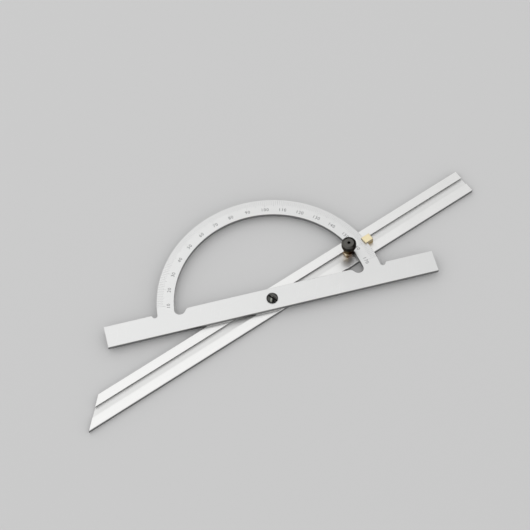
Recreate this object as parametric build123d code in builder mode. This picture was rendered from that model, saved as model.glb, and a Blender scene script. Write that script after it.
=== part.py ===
from build123d import *
import math
import os

# A bevel protractor: a flat scale plate with an open half-ring arc on a straight base bar, and a long
# grooved blade that swings and slides under it. Two slides run in the blade's dovetail groove. One
# carries the pivot, the other the clamp that grips the arc. Sizes are in millimetres.
# The base bar lies along +X, the arc rises towards +Y and +Z is up.
# The origin is on the pivot axis, at the underside of the blade.

# Scale plate
plate_thickness = 3.0
bar_length = 217.5
bar_width = 15.0
arc_outer_radius = 74.2
arc_width = 11.2
inner_relief_radius = 3.4
inner_relief_depth = 3.6
inner_corner_radius = 4.0
outer_relief_radius = 1.5
outer_relief_depth = 2.1
outer_corner_radius = 1.2
edge_break = 0.25

# Blade, as it lies at rest
blade_length = 300.0
blade_width = 18.0
blade_thickness = 3.0
blade_reach = 155.7
blade_angle = 20.7
tip_angle = 45.0

# Dovetail groove along the blade
groove_opening = 5.4
groove_depth = 1.6
groove_undercut = 0.8

# Pivot
pivot_slide_length = 16.0
spigot_diameter = 6.0
screw_head_diameter = 7.4
screw_head_height = 0.9
screw_head_rounding = 0.35
screw_shank_diameter = 3.5
screw_hole_floor = 1.0
screw_slot_width = 1.1
screw_slot_depth = 0.55
screw_slot_angle = -52.0

# Clamp slide, with its boss inside the arc and its hook over the arc's outer edge
stud_inset = 2.5
boss_diameter = 6.0
boss_drop = 0.1
hook_thickness = 4.3
hook_overlap = 1.9
hook_side_step = 0.2
hook_lip_thickness = 1.2
hook_corner = 0.5

# Clamp stud
stud_diameter = 4.0
stud_head_height = 0.8
stud_tip_chamfer = 0.4

# Collar and thumb nut
collar_height = 4.4
collar_foot_diameter = 6.7
collar_top_diameter = 7.4
nut_neck_height = 1.0
nut_head_height = 4.7
nut_head_diameter = 9.5
nut_shoulder_width = 0.9
nut_rim_chamfer = 0.4
nut_top_chamfer_width = 1.6
nut_top_chamfer_height = 0.6
nut_crown = 1.8
nut_bore_runout = 1.2
knurl_count = 36
knurl_size = 0.5
centre_mark_diameter = 2.1
centre_mark_depth = 1.3

# Fits
plate_gap = 0.05
sliding_clearance = 0.1
running_clearance = 0.05
arc_clearance = 0.15
lip_clearance = 0.1
face_gap = 0.03
thread_clearance = 0.02

# Levels, from the underside of the blade
groove_floor = blade_thickness - groove_depth
slide_bottom = groove_floor + sliding_clearance
slide_top = blade_thickness - sliding_clearance
plate_bottom = blade_thickness + plate_gap
plate_top = plate_bottom + plate_thickness
screw_seat = plate_top + plate_gap
boss_top = plate_top - boss_drop
lip_bottom = plate_top + lip_clearance
lip_top = lip_bottom + hook_lip_thickness
collar_bottom = plate_top + face_gap
collar_top = collar_bottom + collar_height
nut_bottom = collar_top + face_gap
nut_shoulder = nut_bottom + nut_neck_height
nut_top = nut_shoulder + nut_head_height
nut_bore_top = nut_top - nut_crown
stud_top = nut_bore_top - nut_bore_runout

# Round necks join each slide's foot, in the groove, to what stands above the blade
neck_radius = groove_opening / 2 - sliding_clearance

# The stud's head is as wide as the groove's opening, which leaves a wall round it in the slide's foot
stud_head_radius = groove_opening / 2

# Directions along the blade and across it, at rest
blade_x = math.cos(math.radians(blade_angle))
blade_y = math.sin(math.radians(blade_angle))
blade_face = Plane(origin=(0, 0, 0), x_dir=(blade_x, blade_y, 0), z_dir=(0, 0, 1))
blade_side = Plane(origin=(0, 0, 0), x_dir=(blade_x, blade_y, 0), z_dir=(blade_y, -blade_x, 0))
arc_inner_radius = arc_outer_radius - arc_width
stud_axis_radius = arc_inner_radius - stud_inset
stud_axis = (stud_axis_radius * blade_x, stud_axis_radius * blade_y)

os.makedirs("parts", exist_ok=True)


def across_blade(distance):
    """Plane square to the blade, this far from the pivot axis, with its own Y axis up."""
    origin = (distance * blade_x, distance * blade_y, 0)
    return Plane(origin=origin, x_dir=(-blade_y, blade_x, 0), z_dir=(blade_x, blade_y, 0))


def groove_section():
    """Draw the dovetail groove's section in the open sketch."""
    half_opening = groove_opening / 2
    half_floor = half_opening + groove_undercut
    Polygon(
        (-half_floor, groove_floor),
        (half_floor, groove_floor),
        (half_opening, blade_thickness),
        (-half_opening, blade_thickness),
        align=None,
    )


def slide_section():
    """Draw a slide's section, which is the groove's less its clearance, in the open sketch."""
    groove_section()
    offset(amount=-sliding_clearance, kind=Kind.INTERSECTION, mode=Mode.REPLACE)


def finish_part(builder, label):
    """Name a finished piece and write it to its own file."""
    builder.part.label = label
    export_step(builder.part, f"parts/{label}.step")


# Protractor plate: base bar and arc in one, with a round relief in each corner at the arc's feet
bar_top = bar_width / 2
outer_relief_y = bar_top - outer_relief_depth + outer_relief_radius
outer_relief_distance = arc_outer_radius + outer_relief_radius
outer_foot_angle = math.degrees(math.asin(outer_relief_y / outer_relief_distance))
outer_relief_x = outer_relief_distance * math.cos(math.radians(outer_foot_angle))
outer_exit_angle = math.degrees(math.asin((bar_top - outer_relief_y) / outer_relief_radius))

inner_relief_y = bar_top - inner_relief_depth + inner_relief_radius
inner_relief_distance = arc_inner_radius - inner_relief_radius
inner_foot_angle = math.degrees(math.asin(inner_relief_y / inner_relief_distance))
inner_relief_x = inner_relief_distance * math.cos(math.radians(inner_foot_angle))
inner_exit_angle = math.degrees(math.asin((bar_top - inner_relief_y) / inner_relief_radius))
spigot_hole_radius = spigot_diameter / 2 + running_clearance

with BuildPart() as protractor_plate:
    with BuildSketch(Plane.XY.offset(plate_bottom)) as outline:
        with BuildLine():
            CenterArc((0, 0), arc_outer_radius, 90, outer_foot_angle - 90)
            outer_relief = CenterArc(
                (outer_relief_x, outer_relief_y),
                outer_relief_radius,
                180 + outer_foot_angle,
                180 + outer_exit_angle - outer_foot_angle,
            )
            Polyline(
                outer_relief @ 1,
                (bar_length / 2, bar_top),
                (bar_length / 2, -bar_top),
                (0, -bar_top),
            )
            mirror(about=Plane.YZ)
        make_face()
        at_bar_top = outline.vertices().filter_by(lambda v: abs(v.Y - bar_top) < 0.001)
        fillet(at_bar_top.filter_by(lambda v: abs(v.X) < bar_length / 2 - 0.001), outer_corner_radius)
        Circle(spigot_hole_radius, mode=Mode.SUBTRACT)
    extrude(amount=plate_thickness)
    with BuildSketch(Plane.XY.offset(plate_bottom)) as window:
        with BuildLine():
            CenterArc((0, 0), arc_inner_radius, 90, inner_foot_angle - 90)
            inner_relief = CenterArc(
                (inner_relief_x, inner_relief_y),
                inner_relief_radius,
                inner_foot_angle,
                -180 - inner_exit_angle - inner_foot_angle,
            )
            Line(inner_relief @ 1, (0, bar_top))
            mirror(about=Plane.YZ)
        make_face()
        at_bar_top = window.vertices().filter_by(lambda v: abs(v.Y - bar_top) < 0.001)
        fillet(at_bar_top.filter_by(lambda v: abs(v.X) > inner_corner_radius), inner_corner_radius)
    extrude(amount=plate_thickness, mode=Mode.SUBTRACT)
    chamfer(protractor_plate.faces().sort_by(Axis.Z)[0].edges(), edge_break)
    chamfer(protractor_plate.faces().sort_by(Axis.Z)[-1].edges(), edge_break)

finish_part(protractor_plate, "protractor_plate")

# Blade: a long grooved strip, square at one end and cut to a point on its lower edge at the other
blade_tail = blade_reach - blade_length
tip_setback = blade_width / math.tan(math.radians(tip_angle))

with BuildPart() as blade:
    with BuildSketch(blade_face):
        with BuildLine():
            Polyline(
                (blade_tail, -blade_width / 2),
                (blade_reach, -blade_width / 2),
                (blade_reach, blade_width / 2),
                (blade_tail + tip_setback, blade_width / 2),
                close=True,
            )
        make_face()
    extrude(amount=blade_thickness)
    chamfer(blade.faces().sort_by(Axis.Z)[0].edges(), edge_break)
    chamfer(blade.faces().sort_by(Axis.Z)[-1].edges(), edge_break)
    with BuildSketch(across_blade(blade_tail)):
        groove_section()
    extrude(amount=blade_length, mode=Mode.SUBTRACT)

finish_part(blade, "blade")

# Pivot slide: a dovetail foot in the groove, with a round spigot up through the plate
screw_hole_bottom = slide_bottom + screw_hole_floor

with BuildPart() as pivot_slide:
    with BuildSketch(across_blade(-pivot_slide_length / 2)):
        slide_section()
    extrude(amount=pivot_slide_length)
    with BuildSketch(Plane.XY.offset(slide_top)):
        Circle(neck_radius)
    extrude(amount=plate_bottom - slide_top)
    with BuildSketch(Plane.XY.offset(plate_bottom)):
        Circle(spigot_diameter / 2)
    extrude(amount=screw_seat - plate_bottom)
    with BuildSketch(Plane.XY.offset(screw_seat)):
        Circle(screw_shank_diameter / 2 + thread_clearance)
    extrude(amount=screw_hole_bottom - screw_seat, mode=Mode.SUBTRACT)

finish_part(pivot_slide, "pivot_slide")

# Pivot screw: a slotted head with a rounded rim, seated on the spigot so that the plate turns freely
screw_head_top = screw_seat + screw_head_height

with BuildPart() as pivot_screw:
    with BuildSketch(Plane.XY.offset(screw_seat)):
        Circle(screw_head_diameter / 2)
    extrude(amount=screw_head_height)
    fillet(pivot_screw.faces().sort_by(Axis.Z)[-1].edges(), screw_head_rounding)
    with BuildSketch(Plane.XY.offset(screw_seat)):
        Circle(screw_shank_diameter / 2)
    extrude(amount=screw_hole_bottom + thread_clearance - screw_seat)
    with BuildSketch(Plane.XY.offset(screw_head_top)):
        Rectangle(screw_head_diameter, screw_slot_width, rotation=screw_slot_angle)
    extrude(amount=-screw_slot_depth, mode=Mode.SUBTRACT)

finish_part(pivot_screw, "pivot_screw")

# Clamp slide: a dovetail foot under the arc, a boss inside the arc and a hook over its outer edge
boss_radius = boss_diameter / 2
hook_reach = arc_outer_radius + hook_thickness
hook_start = arc_outer_radius - hook_overlap
stud_head_top = slide_bottom + stud_head_height

with BuildPart() as clamp_slide:
    with BuildSketch(across_blade(stud_axis_radius - boss_radius)):
        slide_section()
    extrude(amount=hook_reach - stud_axis_radius + boss_radius)
    with BuildSketch(Plane.XY.offset(slide_top)):
        with Locations(stud_axis):
            Circle(neck_radius)
    extrude(amount=plate_bottom - slide_top)
    with BuildSketch(Plane.XY.offset(plate_bottom)):
        with Locations(stud_axis):
            Circle(boss_radius)
    extrude(amount=boss_top - plate_bottom)
    with BuildSketch(blade_side):
        with BuildLine():
            Polyline(
                (hook_start, slide_top),
                (hook_reach, slide_top),
                (hook_reach, lip_top - hook_corner),
                (hook_reach - hook_corner, lip_top),
                (hook_start, lip_top),
                close=True,
            )
        make_face()
    extrude(amount=neck_radius - hook_side_step, both=True)
    with BuildSketch(Plane.XY.offset(slide_top)):
        Circle(arc_outer_radius + arc_clearance)
        Circle(arc_inner_radius - arc_clearance, mode=Mode.SUBTRACT)
    extrude(amount=lip_bottom - slide_top, mode=Mode.SUBTRACT)
    with BuildSketch(Plane.XY.offset(slide_bottom)):
        with Locations(stud_axis):
            Circle(stud_diameter / 2 + thread_clearance)
    extrude(amount=boss_top - slide_bottom, mode=Mode.SUBTRACT)
    with BuildSketch(Plane.XY.offset(slide_bottom)):
        with Locations(stud_axis):
            Circle(stud_head_radius + thread_clearance)
    extrude(amount=stud_head_height, mode=Mode.SUBTRACT)
    chamfer(clamp_slide.faces().sort_by(Axis.Z)[-1].edges(), edge_break)

finish_part(clamp_slide, "clamp_slide")

# Clamp stud: its flat head sits in the slide's underside, and its shank stands up into the nut
with BuildPart() as clamp_stud:
    with BuildSketch(Plane.XY.offset(slide_bottom)):
        with Locations(stud_axis):
            Circle(stud_head_radius)
    extrude(amount=stud_head_height)
    with BuildSketch(Plane.XY.offset(stud_head_top)):
        with Locations(stud_axis):
            Circle(stud_diameter / 2)
    extrude(amount=stud_top - stud_head_top)
    chamfer(clamp_stud.faces().sort_by(Axis.Z)[-1].edges(), stud_tip_chamfer)

finish_part(clamp_stud, "clamp_stud")

# Clamp collar: a tapered sleeve round the stud that presses on the arc's inner rim
with BuildPart() as clamp_collar:
    with BuildSketch(Plane.XY.offset(collar_bottom)):
        with Locations(stud_axis):
            Circle(collar_foot_diameter / 2)
    with BuildSketch(Plane.XY.offset(collar_top)):
        with Locations(stud_axis):
            Circle(collar_top_diameter / 2)
    loft()
    chamfer(clamp_collar.faces().sort_by(Axis.Z)[0].edges(), edge_break)
    with BuildSketch(Plane.XY.offset(collar_bottom)):
        with Locations(stud_axis):
            Circle(stud_diameter / 2 + running_clearance)
    extrude(amount=collar_height, mode=Mode.SUBTRACT)

finish_part(clamp_collar, "clamp_collar")

# Thumb nut: a short neck under a knurled head, with a blind bore, and a wide chamfer and a centre mark on top
nut_head_radius = nut_head_diameter / 2
nut_neck_radius = nut_head_radius - nut_shoulder_width

with BuildPart() as thumb_nut:
    with BuildSketch(Plane.XY.offset(nut_bottom)):
        with Locations(stud_axis):
            Circle(nut_neck_radius)
    extrude(amount=nut_neck_height)
    with BuildSketch(Plane.XY.offset(nut_shoulder)):
        with Locations(stud_axis):
            Circle(nut_head_radius)
    extrude(amount=nut_head_height)
    head_top = thumb_nut.faces().sort_by(Axis.Z)[-1]
    chamfer(head_top.edges(), nut_top_chamfer_width, nut_top_chamfer_height, reference=head_top)
    widest_circles = thumb_nut.edges().filter_by(GeomType.CIRCLE).group_by(SortBy.RADIUS)[-1]
    chamfer(widest_circles.sort_by(Axis.Z)[0], nut_rim_chamfer)
    with BuildSketch(Plane.XY.offset(nut_shoulder)):
        with Locations(stud_axis):
            with PolarLocations(nut_head_radius, knurl_count):
                Rectangle(knurl_size, knurl_size, rotation=45)
    extrude(amount=nut_head_height, mode=Mode.SUBTRACT)
    with BuildSketch(Plane.XY.offset(nut_bottom)):
        with Locations(stud_axis):
            Circle(stud_diameter / 2 + running_clearance)
    extrude(amount=nut_bore_top - nut_bottom, mode=Mode.SUBTRACT)
    with Locations((*stud_axis, nut_top)):
        Cone(
            0,
            centre_mark_diameter / 2,
            centre_mark_depth,
            align=(Align.CENTER, Align.CENTER, Align.MAX),
            mode=Mode.SUBTRACT,
        )

finish_part(thumb_nut, "thumb_nut")
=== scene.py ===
import math

import bmesh
import bpy
from mathutils import Euler, Matrix, Vector


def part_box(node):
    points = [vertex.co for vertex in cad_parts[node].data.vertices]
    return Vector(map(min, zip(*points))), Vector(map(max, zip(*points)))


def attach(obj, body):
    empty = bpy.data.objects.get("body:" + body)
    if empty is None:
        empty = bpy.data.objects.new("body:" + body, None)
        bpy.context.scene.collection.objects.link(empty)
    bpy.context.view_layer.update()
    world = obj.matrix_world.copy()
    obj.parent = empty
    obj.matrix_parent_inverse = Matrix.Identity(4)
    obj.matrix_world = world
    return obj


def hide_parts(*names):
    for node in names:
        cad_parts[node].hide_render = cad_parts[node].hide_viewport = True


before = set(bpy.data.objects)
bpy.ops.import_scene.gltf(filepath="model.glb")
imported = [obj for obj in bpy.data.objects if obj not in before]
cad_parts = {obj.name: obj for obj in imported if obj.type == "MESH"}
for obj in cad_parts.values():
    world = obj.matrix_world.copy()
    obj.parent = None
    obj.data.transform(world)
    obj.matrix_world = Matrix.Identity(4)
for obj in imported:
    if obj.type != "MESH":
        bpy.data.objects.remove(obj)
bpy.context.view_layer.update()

# A bevel protractor with an open arc: materials for its metal pieces, the degree scale, the stud's thread
# and a plain studio. Lengths are in metres and angles in degrees, unless a comment says otherwise. The
# frame is the part's own: the origin is on the pivot axis at the blade's underside, the bar lies along +X
# and the arc rises to +Y.
mm = 0.001

# Sizes shared with the solids
plate_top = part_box("protractor_plate")[1].z
arc_outer_radius = 74.2 * mm
edge_break = 0.25 * mm
blade_angle = 20.7
blade_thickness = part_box("blade")[1].z
groove_half_floor = 3.5 * mm
stud_axis_radius = 60.5 * mm
stud_axis = Matrix.Rotation(math.radians(blade_angle), 3, "Z") @ Vector((stud_axis_radius, 0.0, 0.0))
stud_radius = 2.0 * mm
stud_head_radius = 2.7 * mm
stud_head_height = 0.8 * mm
stud_bottom, stud_top = (corner.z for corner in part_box("clamp_stud"))
stud_head_top = stud_bottom + stud_head_height
stud_tip_chamfer = 0.4 * mm
collar_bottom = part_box("clamp_collar")[0].z
nut_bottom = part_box("thumb_nut")[0].z
nut_radius = 4.75 * mm
nut_top_chamfer_width = 1.6 * mm
nut_disc_radius = nut_radius - nut_top_chamfer_width
centre_mark_radius = 1.05 * mm
screw_radius = 3.7 * mm
screw_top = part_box("pivot_screw")[1].z
screw_slot_angle = -52.0

# Marks of making and wear, and where painted highlights and painted shade lie
ring_spacing = 0.28 * mm
worn_ridge_height = 0.14 * mm
# Direction from the stud's axis of the side that carries painted highlights on the clamp, collar and nut
clamp_highlight_angle = 205.0
# Radius about the stud within which the clamp carries painted shade under the collar
boss_shade_radius = 4.6 * mm
# Centre and direction of the painted highlight stroke on the screw's head
screw_highlight_centre = Vector((-0.88, -0.99, 0.0)) * mm
screw_highlight_angle = 68.9

# Finishes shared by materials. A lean is the upward part of a face's normal, from where a mask starts to
# where it is full.
edge_lean = (0.95, 0.85)
side_lean = (0.45, 0.25)
# Tones of upright sides, darkened by a painted dark reflection, on milled grain
painted_dark_side_tones = ((0.20, 0.20, 0.205), (0.30, 0.30, 0.30))
dark_edge_tint = (0.45, 0.43, 0.42)
cloud_cells = 45.0
oxide_cells = 2500.0

# Thread of the stud
thread_pitch = 0.7 * mm
thread_depth = 0.38 * mm
plain_neck_height = 0.3 * mm
thread_start = stud_head_top + plain_neck_height
thread_sides = 48
rows_per_pitch = 8

# Degree scale, with the lengths of the lines that stand at each 10, 5 and 1 degrees
paint_height = 0.008 * mm
first_degree = 10
last_degree = 170
line_outer_radius = arc_outer_radius - edge_break
line_width = 0.08 * mm
line_lengths = {10: 5.6 * mm, 5: 4.8 * mm, 1: 4.0 * mm}
number_step = 10
number_radius = 66.4 * mm
number_height = 2.3 * mm
digit_part_of_size = 0.73
thinning_part_of_size = 0.002
digit_spacing = 1.15
digit_curve_steps = 4
least_face_area = (0.001 * mm) ** 2

# Camera, fitted to the photograph, with its lens and its sensor's width in millimetres
aim_point = Vector((0.3, 19.0, 16.7)) * mm
camera_distance = 1.0528
camera_azimuth = -11.41
camera_elevation = 60.44
camera_roll = -3.09
camera_lens = 111.8
camera_sensor = 36.0
nearest_seen = 0.01
farthest_seen = 50.0

# Studio
floor_size = 8.0
floor_colour = (0.61, 0.61, 0.61)
floor_roughness = 0.9
floor_gloss = 0.1
background_tone = 0.74
world_strength = 0.90
key_place = (-0.42, 0.55, 1.35)
key_size = 1.5
key_radiance = 0.33


# Shader building blocks. A value or colour is a node's output socket, or a plain number or colour.

def feed(tree, value, target):
    """Join a socket to an input, or set the input to a plain value."""
    if isinstance(value, bpy.types.NodeSocket):
        tree.links.new(value, target)
    else:
        target.default_value = value


def add_node(tree, kind, **inputs):
    """Add a shader node and set or join its inputs by name, with _ for a space."""
    node = tree.nodes.new("ShaderNode" + kind)
    for name, value in inputs.items():
        feed(tree, value, node.inputs[name.replace("_", " ")])
    return node


def calculate(tree, operation, *values):
    """Arithmetic on values."""
    node = tree.nodes.new("ShaderNodeMath")
    node.operation = operation
    for value, target in zip(values, node.inputs):
        feed(tree, value, target)
    return node.outputs["Value"]


def calculate_vector(tree, operation, *values):
    """Arithmetic on vectors."""
    node = tree.nodes.new("ShaderNodeVectorMath")
    node.operation = operation
    for value, target in zip(values, node.inputs):
        feed(tree, value, target)
    return node.outputs["Value" if operation == "LENGTH" else "Vector"]


def spread(tree, value, start, end, low=0.0, high=1.0):
    """Map a value's range from start to end onto low to high, and hold it there."""
    node = add_node(tree, "MapRange", Value=value, From_Min=start, From_Max=end, To_Min=low, To_Max=high)
    return node.outputs["Result"]


def between(tree, mask, low, high):
    """The low value where a mask is 0, the high one where it is 1."""
    return spread(tree, mask, 0.0, 1.0, low, high)


def band(tree, value, middle, full, reach):
    """A mask that is 1 where a value is within full of the middle, and fades to 0 at reach."""
    distance = calculate(tree, "ABSOLUTE", calculate(tree, "SUBTRACT", value, middle))
    return spread(tree, distance, reach, full)


def all_of(tree, *masks):
    """A mask that is 1 only where every one of some masks is."""
    product = masks[0]
    for mask in masks[1:]:
        product = calculate(tree, "MULTIPLY", product, mask)
    return product


def mix_values(tree, mask, base, over):
    """The base value, or the other where the mask is 1."""
    node = tree.nodes.new("ShaderNodeMix")
    node.data_type = "FLOAT"
    for value, index in ((mask, 0), (base, 2), (over, 3)):
        feed(tree, value, node.inputs[index])
    return node.outputs[0]


def mix_colours(tree, mask, base, over):
    """The base colour, or the other where the mask is 1."""
    node = tree.nodes.new("ShaderNodeMix")
    node.data_type = "RGBA"
    for value, index in ((mask, 0), (opaque(base), 6), (opaque(over), 7)):
        feed(tree, value, node.inputs[index])
    return node.outputs[2]


def opaque(colour):
    """A plain colour with full opacity, or a socket as it is."""
    return colour if isinstance(colour, bpy.types.NodeSocket) else (*colour, 1.0)


def grey_ramp(tree, value, stops):
    """A grey that follows stops of value and brightness, with a trace less blue."""
    blue_share = 0.99
    ramp = add_node(tree, "ValToRGB", Fac=value)
    elements = ramp.color_ramp.elements
    while len(elements) < len(stops):
        elements.new(1.0)
    for element, (position, tone) in zip(elements, stops):
        element.position = position
        element.color = (tone, tone, tone * blue_share, 1.0)
    return ramp.outputs["Color"]


def turned(tree, vector, turn):
    """Coordinates turned about Z, so that X lies along the turned direction."""
    mapping = add_node(tree, "Mapping", Vector=vector, Rotation=(0.0, 0.0, math.radians(-turn)))
    return mapping.outputs["Vector"]


def object_place(tree, centre=(0.0, 0.0, 0.0), turn=0.0):
    """Object coordinates from a centre, with X along the turned direction."""
    coordinates = add_node(tree, "TexCoord")
    shifted = calculate_vector(tree, "SUBTRACT", coordinates.outputs["Object"], centre)
    return turned(tree, shifted, turn)


def split(tree, vector):
    """The X, Y and Z of a vector."""
    return add_node(tree, "SeparateXYZ", Vector=vector).outputs


def distance_from_axis(tree, place):
    """Distance from the Z axis of the placed coordinates."""
    flat = calculate_vector(tree, "MULTIPLY", place, (1.0, 1.0, 0.0))
    return calculate_vector(tree, "LENGTH", flat)


def towards_rub(tree):
    """Distance from the stud's axis towards the side of the clamp that carries painted highlights."""
    return split(tree, object_place(tree, centre=stud_axis, turn=clamp_highlight_angle))["X"]


def facing_up(tree):
    """How far the surface faces up: 1 on top faces, 0 on side faces and below 0 on undersides."""
    return split(tree, add_node(tree, "TexCoord").outputs["Normal"])["Z"]


def edges_and_sides(tree):
    """Two masks: one of the bevelled edges and all that is steeper, and one of the upright sides alone."""
    lean = calculate(tree, "ABSOLUTE", facing_up(tree))
    return spread(tree, lean, *edge_lean), spread(tree, lean, *side_lean)


def noise(tree, place, cells, detail=3.0, roughness=0.55):
    """Noise from 0 to 1, with so many cells to the metre, as one number or as one for each axis."""
    usual_range = (0.3, 0.7)
    along_axes = cells if isinstance(cells, tuple) else (cells, cells, cells)
    scaled = calculate_vector(tree, "MULTIPLY", place, along_axes)
    node = add_node(tree, "TexNoise", Vector=scaled, Scale=1.0, Detail=detail, Roughness=roughness)
    return spread(tree, node.outputs["Fac"], *usual_range)


def clouds(tree, place):
    """Broad soft patches, as handling leaves on bright metal."""
    return noise(tree, place, cloud_cells, detail=5.0, roughness=0.6)


def turned_rings(tree, radius):
    """The rings that a lathe tool leaves, as a wave from 0 to 1."""
    wave = calculate(tree, "SINE", calculate(tree, "MULTIPLY", radius, math.tau / ring_spacing))
    return spread(tree, wave, -1.0, 1.0)


def scratches(tree, place, turns, amount):
    """A mask of a few fine straight scratches in each of some directions."""
    streak_range = (0.90, 0.98)
    patch_range = (0.5, 0.8)
    total = 0.0
    for turn in turns:
        along = turned(tree, place, turn)
        streaks = noise(tree, along, cells=(60.0, 7000.0, 60.0), detail=1.0)
        patches = noise(tree, along, cells=70.0, detail=2.0)
        strong = all_of(tree, spread(tree, streaks, *streak_range), spread(tree, patches, *patch_range))
        total = calculate(tree, "MAXIMUM", total, strong)
    return calculate(tree, "MULTIPLY", total, amount)


def new_material(name):
    """Return an empty node material, its tree and its shader."""
    material = bpy.data.materials.new(name)
    material.use_nodes = True
    tree = material.node_tree
    return material, tree, tree.nodes["Principled BSDF"]


def finish_metal(tree, shader, colour, roughness, height, depth):
    """Give a metal shader its colour, its roughness and its fine relief, depth metres deep."""
    shader.inputs["Metallic"].default_value = 1.0
    bump = add_node(tree, "Bump", Height=height, Strength=1.0, Distance=depth)
    feed(tree, colour, shader.inputs["Base Color"])
    feed(tree, roughness, shader.inputs["Roughness"])
    feed(tree, bump.outputs["Normal"], shader.inputs["Normal"])


# Materials. A pair of tones is a finish at its darkest and at its lightest.

def make_satin_plate():
    """Satin plate: fine even matt grain on the faces, polished edges and milled sides darkened by a painted
    dark reflection.
    """
    face_tones = (0.785, 0.79, 0.785), (0.835, 0.835, 0.83)
    scratch_tone = (0.93, 0.93, 0.93)
    edge_tone = (0.90, 0.90, 0.89)
    cloud_share = 0.45

    material, tree, shader = new_material("satin_plate")
    place = object_place(tree)
    on_edge, on_side = edges_and_sides(tree)
    grain = noise(tree, place, cells=9000.0, detail=4.0)
    milling = noise(tree, place, cells=(500.0, 500.0, 9000.0))
    mottle = mix_values(tree, cloud_share, grain, clouds(tree, place))
    marks = scratches(tree, place, turns=(12.0, -34.0, 71.0), amount=0.5)
    face = mix_colours(tree, mottle, *face_tones)
    face = mix_colours(tree, marks, face, scratch_tone)
    # Upright sides: milled grain in tones darkened by a painted dark reflection
    side = mix_colours(tree, milling, *painted_dark_side_tones)
    colour = mix_colours(tree, on_edge, face, edge_tone)
    colour = mix_colours(tree, on_side, colour, side)
    roughness = between(tree, mottle, low=0.32, high=0.40)
    roughness = mix_values(tree, on_edge, roughness, over=0.24)
    roughness = mix_values(tree, on_side, roughness, over=0.42)
    relief = mix_values(tree, on_side, grain, milling)
    finish_metal(tree, shader, colour, roughness, relief, depth=0.005 * mm)
    return material


def make_ground_blade():
    """Ground blade: lengthwise lines, polished edges, sides darkened by a painted dark reflection, and a
    groove with painted shade by its far wall and on its undercut wall.
    """
    face_tones = (0.87, 0.87, 0.86), (0.93, 0.93, 0.92)
    scratch_tone = (0.97, 0.97, 0.97)
    edge_tone = (0.93, 0.93, 0.92)
    # Painted shade on the undercut wall and across the groove floor, darkest by the far wall
    undercut_shade_tone = (0.42, 0.42, 0.42)
    groove_shade_greys = ((0.0, 0.66), (0.15, 0.86), (0.55, 0.86), (0.85, 0.80), (0.94, 0.68), (1.0, 0.50))
    face_share_of_floor = 0.12
    cloud_share = 0.4
    floor_lean = (0.8, 0.9)
    undercut_lean = (-0.1, -0.3)

    material, tree, shader = new_material("ground_blade")
    place = object_place(tree, turn=blade_angle)
    across, height = split(tree, place)["Y"], split(tree, place)["Z"]
    facing = facing_up(tree)
    on_edge, on_side = edges_and_sides(tree)
    above_base = calculate(tree, "GREATER_THAN", height, blade_thickness / 3)
    below_face = calculate(tree, "LESS_THAN", height, blade_thickness * 2 / 3)
    on_floor = all_of(tree, spread(tree, facing, *floor_lean), above_base, below_face)
    on_wall = all_of(tree, spread(tree, facing, *undercut_lean), above_base)
    grinding = noise(tree, place, cells=(140.0, 6500.0, 6500.0), detail=4.0)
    mottle = mix_values(tree, cloud_share, grinding, clouds(tree, place))
    marks = scratches(tree, place, turns=(4.0, -7.0, 55.0), amount=0.5)
    face = mix_colours(tree, mottle, *face_tones)
    face = mix_colours(tree, marks, face, scratch_tone)
    # Upright sides: ground grain in tones darkened by a painted dark reflection
    side = mix_colours(tree, grinding, *painted_dark_side_tones)
    # Groove floor in painted shade, darkest by the far wall under the overhang
    to_far_wall = spread(tree, across, -groove_half_floor, groove_half_floor)
    shaded_groove_floor = grey_ramp(tree, to_far_wall, groove_shade_greys)
    shaded_groove_floor = mix_colours(tree, face_share_of_floor, shaded_groove_floor, face)
    colour = mix_colours(tree, on_edge, face, edge_tone)
    colour = mix_colours(tree, on_side, colour, side)
    colour = mix_colours(tree, on_floor, colour, shaded_groove_floor)
    colour = mix_colours(tree, on_wall, colour, undercut_shade_tone)
    roughness = between(tree, mottle, low=0.29, high=0.40)
    roughness = mix_values(tree, on_edge, roughness, over=0.22)
    roughness = mix_values(tree, on_side, roughness, over=0.40)
    roughness = mix_values(tree, on_floor, roughness, over=0.50)
    finish_metal(tree, shader, colour, roughness, grinding, depth=0.007 * mm)
    return material


def make_plain_steel():
    """Plain turned steel of the pivot slide and the stud."""
    steel_tones = (0.46, 0.46, 0.45), (0.62, 0.62, 0.61)

    material, tree, shader = new_material("plain_steel")
    turning = noise(tree, object_place(tree), cells=(300.0, 300.0, 9000.0), detail=4.0)
    colour = mix_colours(tree, turning, *steel_tones)
    roughness = between(tree, turning, low=0.24, high=0.40)
    finish_metal(tree, shader, colour, roughness, turning, depth=0.006 * mm)
    return material


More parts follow.
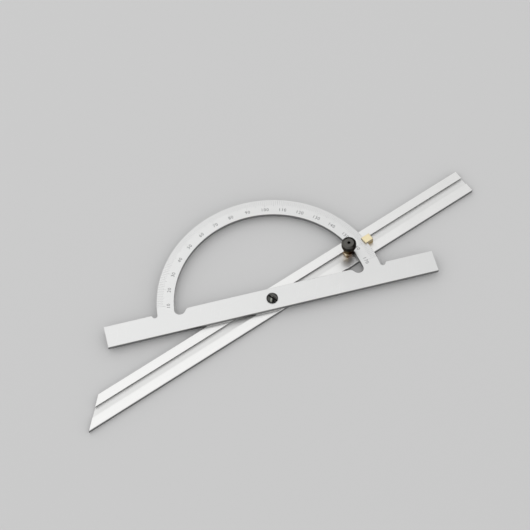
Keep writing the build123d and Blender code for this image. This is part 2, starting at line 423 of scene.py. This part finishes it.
def make_brass_clamp():
    """Brass clamp slide: pale on the hook, with painted shade that browns its sides and darkens the boss
    under the collar, and a painted highlight on one side of the boss, strongest high up.
    """
    face_tones = (0.93, 0.79, 0.475), (0.98, 0.875, 0.59)
    edge_tone = (0.98, 0.88, 0.61)
    side_shade_tones = (0.30, 0.225, 0.12), (0.50, 0.39, 0.225)
    boss_shade_tones = (0.090, 0.055, 0.036), (0.230, 0.150, 0.095)
    highlight_tone = (0.90, 0.76, 0.53)
    highlight_foot, highlight_top = 3.0 * mm, 4.0 * mm
    highlight_start, highlight_full = 1.9 * mm, 2.8 * mm
    tarnish_share = 0.5

    material, tree, shader = new_material("brass_clamp")
    place = object_place(tree, turn=blade_angle)
    radius = distance_from_axis(tree, object_place(tree, centre=stud_axis))
    # Painted shade on the boss under the collar, with a painted highlight on one side
    under_collar = calculate(tree, "LESS_THAN", radius, boss_shade_radius)
    up_boss = spread(tree, split(tree, place)["Z"], highlight_foot, highlight_top, low=0.3, high=1.0)
    on_painted_highlight = all_of(tree, up_boss, spread(tree, towards_rub(tree), highlight_start, highlight_full))
    on_edge, on_side = edges_and_sides(tree)
    filing = noise(tree, place, cells=(5200.0, 400.0, 2000.0), detail=4.0)
    tarnish = noise(tree, place, cells=350.0, detail=4.0)
    mottle = mix_values(tree, tarnish_share, filing, tarnish)
    face = mix_colours(tree, mottle, *face_tones)
    side = mix_colours(tree, mottle, *side_shade_tones)
    shaded_boss = mix_colours(tree, mottle, *boss_shade_tones)
    shaded_boss = mix_colours(tree, on_painted_highlight, shaded_boss, highlight_tone)
    colour = mix_colours(tree, on_edge, face, edge_tone)
    colour = mix_colours(tree, on_side, colour, side)
    colour = mix_colours(tree, under_collar, colour, shaded_boss)
    roughness = between(tree, mottle, low=0.24, high=0.36)
    finish_metal(tree, shader, colour, roughness, filing, depth=0.006 * mm)
    return material


def make_dark_collar():
    """Turned bronze of the collar, near black from tarnish and from a painted dark reflection, with a
    painted highlight down one side that is brightest at its lower edge.
    """
    # Near black: tarnish together with a painted dark reflection
    dark_tones = (0.005, 0.003, 0.002), (0.040, 0.023, 0.015)
    highlight_tones = (0.075, 0.056, 0.030), (0.22, 0.165, 0.090)
    foot_highlight_tone = (0.66, 0.54, 0.36)
    highlight_start, highlight_full = 1.9 * mm, 3.2 * mm
    foot_highlight_start, foot_highlight_full = 1.8 * mm, 3.1 * mm
    foot_top, foot_full = collar_bottom + 0.75 * mm, collar_bottom + 0.50 * mm
    tarnish_share = 0.7

    material, tree, shader = new_material("dark_collar")
    place = object_place(tree, centre=stud_axis)
    turning = noise(tree, place, cells=(200.0, 200.0, 6000.0))
    tarnish = noise(tree, place, cells=260.0, detail=4.0)
    mottle = mix_values(tree, tarnish_share, turning, tarnish)
    # Painted highlight down one side, brightest on the lower edge
    to_highlight = towards_rub(tree)
    on_painted_highlight = spread(tree, to_highlight, highlight_start, highlight_full)
    on_foot = spread(tree, split(tree, place)["Z"], foot_top, foot_full)
    foot_highlight = all_of(tree, on_foot, spread(tree, to_highlight, foot_highlight_start, foot_highlight_full))
    dark = mix_colours(tree, mottle, *dark_tones)
    highlighted = mix_colours(tree, mottle, *highlight_tones)
    colour = mix_colours(tree, on_painted_highlight, dark, highlighted)
    colour = mix_colours(tree, foot_highlight, colour, foot_highlight_tone)
    roughness = between(tree, mottle, low=0.22, high=0.36)
    finish_metal(tree, shader, colour, roughness, turning, depth=0.008 * mm)
    shader.inputs["Specular Tint"].default_value = opaque(dark_edge_tint)
    return material


def make_black_nut():
    """Black nut: a disc of turned rings with a deep centre mark in painted shade, and a knurl worn on its
    ridges, with painted highlights on one side: lighter patches, ridges and chamfer, and browner low down.
    """
    dark_tones = (0.008, 0.0075, 0.007), (0.022, 0.020, 0.018)
    highlight_tones = (0.030, 0.029, 0.027), (0.060, 0.058, 0.053)
    patch_tone = (0.115, 0.110, 0.100)
    brown_tones = (0.055, 0.043, 0.024), (0.115, 0.092, 0.054)
    chamfer_highlight_tone = (0.115, 0.112, 0.104)
    disc_tones = (0.090, 0.088, 0.082), (0.165, 0.160, 0.150)
    ridge_tone = (0.17, 0.16, 0.145)
    # Painted shade in the centre mark
    mark_shade_tone = (0.006, 0.006, 0.006)
    highlight_start, highlight_full = -0.5 * mm, 2.6 * mm
    brown_top, brown_full = nut_bottom + 3.5 * mm, nut_bottom + 1.0 * mm
    disc_margin = 0.03 * mm
    disc_lean = (0.8, 0.97)
    mark_lean = (0.97, 0.8)
    off_side_lean = (0.4, 0.7)
    off_disc_lean = (0.99, 0.97)
    ridge_range = (0.3, 0.7)
    patch_range = (0.5, 0.9)
    chamfer_highlight_share = 0.7
    oxide_share = 0.5
    oxide_share_of_relief = 0.3

    material, tree, shader = new_material("black_nut")
    place = object_place(tree, centre=stud_axis)
    radius = distance_from_axis(tree, place)
    facing = facing_up(tree)
    rings = turned_rings(tree, radius)
    oxide = noise(tree, place, oxide_cells, detail=4.0)
    patches = noise(tree, place, cells=550.0)
    within_disc = calculate(tree, "LESS_THAN", radius, nut_disc_radius + disc_margin)
    within_mark = calculate(tree, "LESS_THAN", radius, centre_mark_radius)
    on_disc = all_of(tree, spread(tree, facing, *disc_lean), within_disc)
    on_mark = all_of(tree, spread(tree, facing, *mark_lean), within_mark)
    # One side carries painted highlights: lighter patches, ridges and chamfer, browner low down
    on_painted_highlight = spread(tree, towards_rub(tree), highlight_start, highlight_full)
    down_nut = all_of(tree, on_painted_highlight, spread(tree, split(tree, place)["Z"], brown_top, brown_full))
    near_rim = spread(tree, radius, nut_radius - worn_ridge_height, nut_radius)
    ridge_wear_and_highlight = between(tree, on_painted_highlight, low=0.25, high=0.7)
    on_ridge = all_of(tree, near_rim, spread(tree, oxide, *ridge_range), ridge_wear_and_highlight)
    on_chamfer = all_of(tree, spread(tree, facing, *off_side_lean), spread(tree, facing, *off_disc_lean))
    dark = mix_colours(tree, oxide, *dark_tones)
    highlighted = mix_colours(tree, oxide, *highlight_tones)
    highlighted = mix_colours(tree, spread(tree, patches, *patch_range), highlighted, patch_tone)
    browned = mix_colours(tree, oxide, *brown_tones)
    disc = mix_colours(tree, mix_values(tree, oxide_share, rings, oxide), *disc_tones)
    colour = mix_colours(tree, on_painted_highlight, dark, highlighted)
    colour = mix_colours(tree, down_nut, colour, browned)
    colour = mix_colours(tree, all_of(tree, on_chamfer, on_painted_highlight, chamfer_highlight_share), colour, chamfer_highlight_tone)
    colour = mix_colours(tree, on_disc, colour, disc)
    colour = mix_colours(tree, on_ridge, colour, ridge_tone)
    colour = mix_colours(tree, on_mark, colour, mark_shade_tone)
    roughness = between(tree, oxide, low=0.30, high=0.44)
    disc_relief = mix_values(tree, oxide_share_of_relief, rings, oxide)
    relief = mix_values(tree, on_disc, oxide, disc_relief)
    finish_metal(tree, shader, colour, roughness, relief, depth=0.010 * mm)
    shader.inputs["Specular Tint"].default_value = opaque(dark_edge_tint)
    return material


def make_black_screw():
    """Black screw: a painted highlight stroke and a painted dark reflection beside it on its near half, a
    painted highlight line past the slot, and painted shade in the slot, on the rim and down the side.
    """
    # Painted shade in the slot, on the rim and down the side
    shade_tone = (0.016, 0.016, 0.016)
    plain_tones = (0.036, 0.036, 0.034), (0.078, 0.077, 0.072)
    worn_tone = (0.110, 0.111, 0.104)
    line_highlight_tone = (0.125, 0.124, 0.118)
    dark_reflection_tone = (0.010, 0.010, 0.010)
    highlight_tone = (0.36, 0.375, 0.33)
    rim_start, rim_end = screw_radius - 0.20 * mm, screw_radius - 0.45 * mm
    face_depth = 0.1 * mm
    dark_offset = -1.6 * mm
    line_offset = 1.95 * mm
    highlight_range = (-0.05, 0.35)
    wear_range = (0.3, 1.0)
    oxide_share = 0.5

    material, tree, shader = new_material("black_screw")
    place = object_place(tree)
    radius = distance_from_axis(tree, place)
    oxide = noise(tree, place, oxide_cells, detail=4.0)
    wear = noise(tree, place, cells=620.0)
    inside_rim = spread(tree, radius, rim_start, rim_end)
    on_top = calculate(tree, "GREATER_THAN", split(tree, place)["Z"], screw_top - face_depth)
    on_face = all_of(tree, inside_rim, on_top)
    # Painted highlight stroke, a painted dark reflection beside it, and a painted highlight line past the
    # slot
    highlight_axes = split(tree, object_place(tree, centre=screw_highlight_centre, turn=screw_highlight_angle))
    along_highlight = band(tree, highlight_axes["X"], middle=0.0, full=2.1 * mm, reach=2.7 * mm)
    across_highlight = band(tree, highlight_axes["Y"], middle=0.0, full=0.27 * mm, reach=0.66 * mm)
    on_painted_highlight = all_of(tree, along_highlight, across_highlight, spread(tree, wear, *highlight_range))
    from_slot = split(tree, object_place(tree, turn=screw_slot_angle))["Y"]
    near_half = calculate(tree, "LESS_THAN", from_slot, 0.0)
    beside_highlight = band(tree, highlight_axes["Y"], dark_offset, full=0.55 * mm, reach=0.95 * mm)
    on_highlight_line = band(tree, from_slot, line_offset, full=0.20 * mm, reach=0.55 * mm)
    turning = mix_values(tree, oxide_share, turned_rings(tree, radius), oxide)
    face = mix_colours(tree, turning, *plain_tones)
    face = mix_colours(tree, spread(tree, wear, *wear_range), face, worn_tone)
    face = mix_colours(tree, on_highlight_line, face, line_highlight_tone)
    face = mix_colours(tree, all_of(tree, near_half, beside_highlight), face, dark_reflection_tone)
    face = mix_colours(tree, on_painted_highlight, face, highlight_tone)
    colour = mix_colours(tree, on_face, shade_tone, face)
    roughness = between(tree, oxide, low=0.26, high=0.42)
    relief = mix_values(tree, on_face, oxide, turning)
    finish_metal(tree, shader, colour, roughness, relief, depth=0.008 * mm)
    return material


def make_scale_paint():
    """Dark paint of the degree lines and numbers, a little uneven."""
    paint_tones = (0.09, 0.09, 0.095), (0.16, 0.16, 0.165)

    material, tree, shader = new_material("scale_paint")
    patches = noise(tree, object_place(tree), cells=1500.0, detail=4.0)
    feed(tree, mix_colours(tree, patches, *paint_tones), shader.inputs["Base Color"])
    feed(tree, between(tree, patches, low=0.5, high=0.7), shader.inputs["Roughness"])
    return material


def make_floor_paint():
    """Plain matt paint of the floor."""
    material, _, shader = new_material("floor")
    shader.inputs["Base Color"].default_value = opaque(floor_colour)
    shader.inputs["Roughness"].default_value = floor_roughness
    shader.inputs["Specular IOR Level"].default_value = floor_gloss
    return material


# Objects and meshes

def new_object(name, data):
    """Make an object and put it into the scene."""
    made = bpy.data.objects.new(name, data)
    bpy.context.scene.collection.objects.link(made)
    return made


def new_mesh(name, vertices, faces):
    """Make a mesh of points and the faces between them."""
    mesh = bpy.data.meshes.new(name)
    mesh.from_pydata(vertices, [], faces)
    return mesh


def dress(node, material):
    """Give a CAD node its material."""
    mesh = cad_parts[node].data
    mesh.materials.clear()
    mesh.materials.append(material)


def new_piece(name, mesh, material, body):
    """Make a piece of a mesh, with its material, and let it ride on a body."""
    mesh.materials.clear()
    mesh.materials.append(material)
    piece = new_object(name, mesh)
    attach(piece, body)
    return piece


def on_circle(radius, angle, height=0.0):
    """A point on a circle about the Z axis, with its angle from the X axis in radians."""
    return Vector((radius * math.cos(angle), radius * math.sin(angle), height))


def on_scale(radius, degree):
    """A point on the arc at a degree of the scale, which counts from the bar's left end."""
    return on_circle(radius, math.radians(180 - degree))


def thread_radius(height, part_turned):
    """The stud's radius at a height, where the helix has turned by a part of a whole turn."""
    phase = (height / thread_pitch - part_turned) % 1.0
    groove = 1.0 - abs(2.0 * phase - 1.0)
    run_in = min(1.0, (height - thread_start) / thread_pitch)
    into_tip = max(0.0, height - (stud_top - stud_tip_chamfer))
    return stud_radius - max(thread_depth * groove * run_in, into_tip)


def make_stud_mesh():
    """The stud in rings of points from the bottom up: a flat head, a threaded shank and a chamfered tip."""
    rings = [
        [(stud_head_radius, stud_bottom)] * thread_sides,
        [(stud_head_radius, stud_head_top)] * thread_sides,
        [(stud_radius, stud_head_top)] * thread_sides,
    ]
    thread_length = stud_top - thread_start
    thread_rows = round(thread_length / thread_pitch * rows_per_pitch)
    for row in range(thread_rows + 1):
        height = thread_start + thread_length * row / thread_rows
        rings.append([
            (thread_radius(height, side / thread_sides), height) for side in range(thread_sides)
        ])
    vertices = []
    faces = [tuple(reversed(range(thread_sides)))]
    for number, ring in enumerate(rings):
        above = number * thread_sides
        below = above - thread_sides
        for side, (radius, level) in enumerate(ring):
            vertices.append(stud_axis + on_circle(radius, math.tau * side / thread_sides, level))
            after = (side + 1) % thread_sides
            if number:
                faces.append((below + side, below + after, above + after, above + side))
    faces.append(tuple(range(len(vertices) - thread_sides, len(vertices))))
    return new_mesh("threaded_stud", vertices, faces)


def make_line_mesh():
    """The degree lines, one flat strip each."""
    lift = Vector((0.0, 0.0, plate_top + paint_height))
    vertices = []
    faces = []
    for degree in range(first_degree, last_degree + 1):
        largest_step = max(step for step in line_lengths if degree % step == 0)
        outer = on_scale(line_outer_radius, degree)
        inner = on_scale(line_outer_radius - line_lengths[largest_step], degree)
        along = (outer - inner).normalized()
        half = Vector((-along.y, along.x, 0.0)) * line_width / 2
        first = len(vertices)
        faces.append((first, first + 1, first + 2, first + 3))
        vertices += [point + lift for point in (inner - half, outer - half, outer + half, inner + half)]
    return new_mesh("degree_lines", vertices, faces)


def make_number_mesh(name, digits):
    """Plain digits as a flat mesh about the origin, without the empty faces that a text's fill leaves."""
    curve = bpy.data.curves.new(name, "FONT")
    curve.body = digits
    curve.size = number_height / digit_part_of_size
    curve.align_x = "CENTER"
    curve.align_y = "CENTER"
    curve.space_character = digit_spacing
    curve.resolution_u = digit_curve_steps
    curve.offset = -thinning_part_of_size * curve.size
    text = new_object(f"{name}_outline", curve)
    bpy.context.view_layer.update()
    mesh = bpy.data.meshes.new_from_object(text)
    bpy.data.objects.remove(text)
    outline = bmesh.new()
    outline.from_mesh(mesh)
    empty_faces = [face for face in outline.faces if face.calc_area() < least_face_area]
    bmesh.ops.delete(outline, geom=empty_faces, context="FACES")
    outline.to_mesh(mesh)
    outline.free()
    mesh.shade_flat()
    return mesh


def add_numbers(paint):
    """The degree numbers, upright to someone who looks from outside the arc towards the pivot."""
    for degree in range(first_degree, last_degree + 1, number_step):
        name = f"number_{degree}"
        mesh = make_number_mesh(name, str(degree))
        spot = on_scale(number_radius, degree)
        spot.z = plate_top + paint_height
        upright = Matrix.Rotation(math.radians(90 - degree), 4, "Z")
        mesh.transform(Matrix.Translation(spot) @ upright)
        new_piece(name, mesh, paint, "scale_plate")


# Studio

def add_camera():
    """The camera, at the photograph's viewing angle."""
    camera_data = bpy.data.cameras.new("camera")
    camera_data.lens = camera_lens
    camera_data.sensor_width = camera_sensor
    camera_data.clip_start = nearest_seen
    camera_data.clip_end = farthest_seen
    camera = new_object("camera", camera_data)
    azimuth = math.radians(camera_azimuth)
    elevation = math.radians(camera_elevation)
    back = Vector((
        math.sin(azimuth) * math.cos(elevation),
        -math.cos(azimuth) * math.cos(elevation),
        math.sin(elevation),
    ))
    camera.location = aim_point + back * camera_distance
    level = Euler((math.pi / 2 - elevation, 0.0, azimuth)).to_matrix()
    rolled = level @ Matrix.Rotation(math.radians(camera_roll), 3, "Z")
    camera.rotation_euler = rolled.to_euler()
    bpy.context.scene.camera = camera


def add_floor():
    """A plain pale floor at the blade's underside."""
    half = floor_size / 2
    corners = [(-half, -half, 0), (half, -half, 0), (half, half, 0), (-half, half, 0)]
    mesh = new_mesh("floor", corners, [(0, 1, 2, 3)])
    mesh.materials.append(make_floor_paint())
    floor = new_object("floor", mesh)


def add_world():
    """Even soft light, and a pale background where the camera, metal or glass sees past the floor."""
    white = (1.0, 1.0, 1.0, 1.0)
    world = bpy.data.worlds.new("studio")
    bpy.context.scene.world = world
    world.use_nodes = True
    tree = world.node_tree
    tree.nodes.clear()
    lighting = add_node(tree, "Background", Color=white, Strength=world_strength)
    seen = add_node(tree, "Background", Color=white, Strength=background_tone)
    rays = add_node(tree, "LightPath").outputs
    any_seen = calculate(tree, "MAXIMUM", rays["Is Camera Ray"], rays["Is Glossy Ray"])
    any_seen = calculate(tree, "MAXIMUM", any_seen, rays["Is Transmission Ray"])
    choose = add_node(tree, "MixShader", Fac=any_seen)
    feed(tree, lighting.outputs["Background"], choose.inputs[1])
    feed(tree, seen.outputs["Background"], choose.inputs[2])
    add_node(tree, "OutputWorld", Surface=choose.outputs["Shader"])


def add_key_light():
    """One large soft light, above and behind the left half."""
    light = bpy.data.lights.new("key_panel", "AREA")
    light.shape = "SQUARE"
    light.size = key_size
    light.energy = key_radiance * math.pi * key_size ** 2
    panel = new_object("key_panel", light)
    panel.location = key_place
    panel.rotation_euler = (-Vector(key_place)).to_track_quat("-Z", "Y").to_euler()


# Carried-over solids
plain_steel = make_plain_steel()
dress("protractor_plate", make_satin_plate())
dress("blade", make_ground_blade())
dress("pivot_slide", plain_steel)
dress("pivot_screw", make_black_screw())
dress("clamp_slide", make_brass_clamp())
dress("clamp_stud", plain_steel)
dress("clamp_collar", make_dark_collar())
dress("thumb_nut", make_black_nut())

# Threaded stud in place of the plain one
threaded_stud = new_piece("threaded_stud", make_stud_mesh(), plain_steel, "swivel")
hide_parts("clamp_stud")

# Degree scale on the plate
scale_paint = make_scale_paint()
new_piece("degree_lines", make_line_mesh(), scale_paint, "scale_plate")
add_numbers(scale_paint)

# Studio round the tool
add_camera()
add_floor()
add_world()
add_key_light()
bpy.context.scene.view_settings.view_transform = "Standard"
